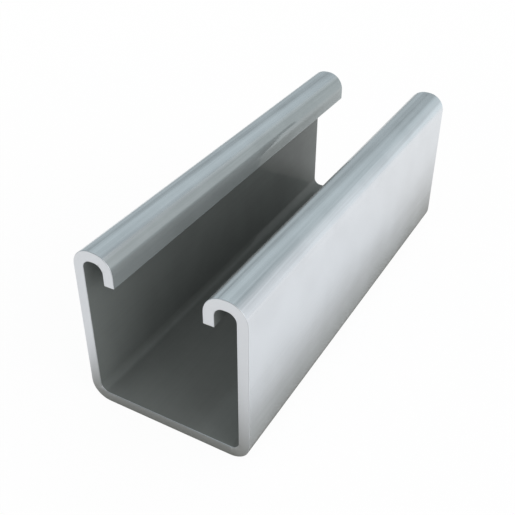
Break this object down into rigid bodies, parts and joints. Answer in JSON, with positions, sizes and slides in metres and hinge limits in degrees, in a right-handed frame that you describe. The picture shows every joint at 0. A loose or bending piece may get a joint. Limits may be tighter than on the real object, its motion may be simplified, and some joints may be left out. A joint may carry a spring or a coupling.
{
  "type": "strut channel",
  "caption": "Short plain length of steel strut channel: an open box section with a solid web, two flat walls and in-turned lips along its slot, cut square at both ends.",
  "frame": {"origin": "middle of the web's underside: half way across and half way along the channel", "axes": "+X across the channel to its right wall, +Y along the channel away from the picture's near end, +Z from the web up through the slot"},
  "size_m": [0.0412, 0.11, 0.0413],
  "materials": {
    "zinc_coated_steel": "smooth satin zinc coating, blue-grey, on cold-formed steel strip"
  },
  "bodies": {
    "root": {"strut_channel": "zinc_coated_steel"}
  },
  "joints": []
}
